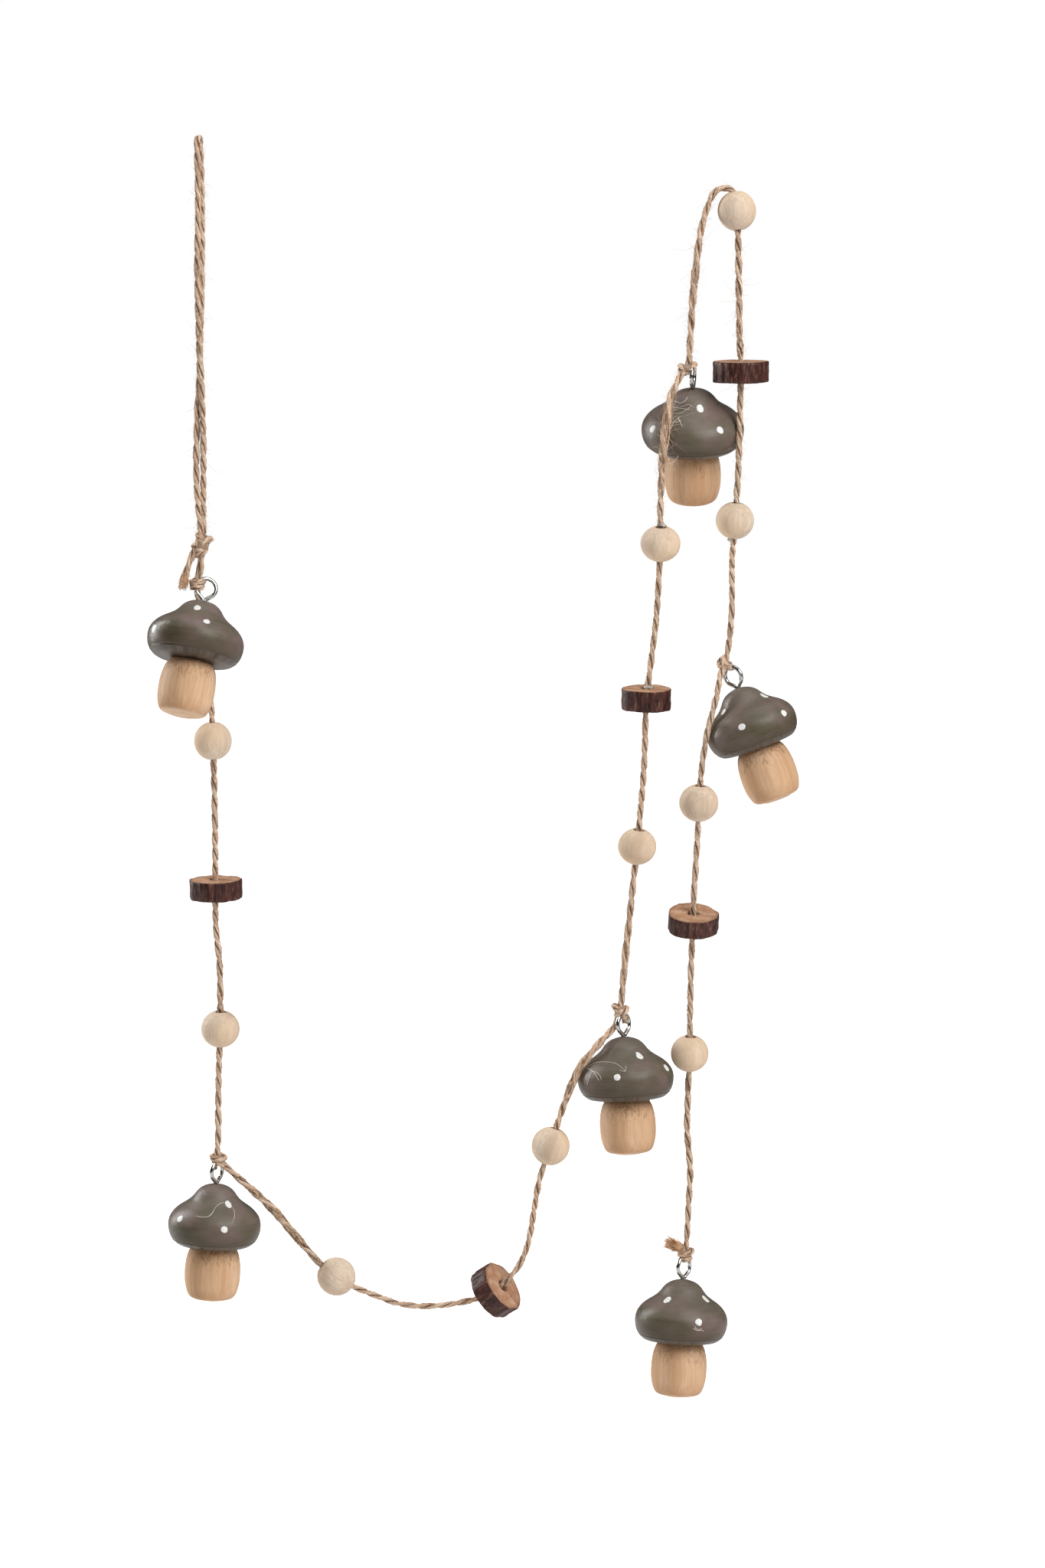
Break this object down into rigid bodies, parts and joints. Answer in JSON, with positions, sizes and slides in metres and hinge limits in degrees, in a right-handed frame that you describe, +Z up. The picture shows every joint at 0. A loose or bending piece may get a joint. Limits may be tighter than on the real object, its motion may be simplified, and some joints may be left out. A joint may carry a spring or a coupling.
{
  "type": "wooden mushroom garland on jute twine",
  "caption": "Hanging garland of turned wooden mushrooms on screw eyes, with round beads and drilled branch slices between them, threaded on knotted jute twine.",
  "frame": {"origin": "inside of the top bend of the hanging loop, where a hook bears", "axes": "+Z up along the hang, +X to the viewer's right across the garland, +Y away from the viewer through its thin side"},
  "size_m": [0.2118, 0.042, 0.4123],
  "materials": {
    "jute": "rough natural jute, two plies with loose fibres",
    "cap_paint": "semi-gloss grey-brown paint over turned wood, with small white dots",
    "stem_wood": "bare turned wood, warm, fine upright grain",
    "bead_wood": "bare pale turned wood, matte",
    "slice_wood": "sawn branch with rough dark bark and a tan cut face",
    "steel": "bright plated steel wire"
  },
  "bodies": {
    "root": {"twine": "jute", "cap_1": "cap_paint", "cap_2": "cap_paint", "cap_3": "cap_paint", "cap_4": "cap_paint", "cap_5": "cap_paint", "cap_6": "cap_paint", "stem_1": "stem_wood", "stem_2": "stem_wood", "stem_3": "stem_wood", "stem_4": "stem_wood", "stem_5": "stem_wood", "stem_6": "stem_wood", "eye_1": "steel", "eye_2": "steel", "eye_3": "steel", "eye_4": "steel", "eye_5": "steel", "eye_6": "steel", "bead_01": "bead_wood", "bead_02": "bead_wood", "bead_03": "bead_wood", "bead_04": "bead_wood", "bead_05": "bead_wood", "bead_06": "bead_wood", "bead_07": "bead_wood", "bead_08": "bead_wood", "bead_09": "bead_wood", "bead_10": "bead_wood", "slice_1": "slice_wood", "slice_2": "slice_wood", "slice_3": "slice_wood", "slice_4": "slice_wood", "slice_5": "slice_wood"}
  },
  "joints": []
}
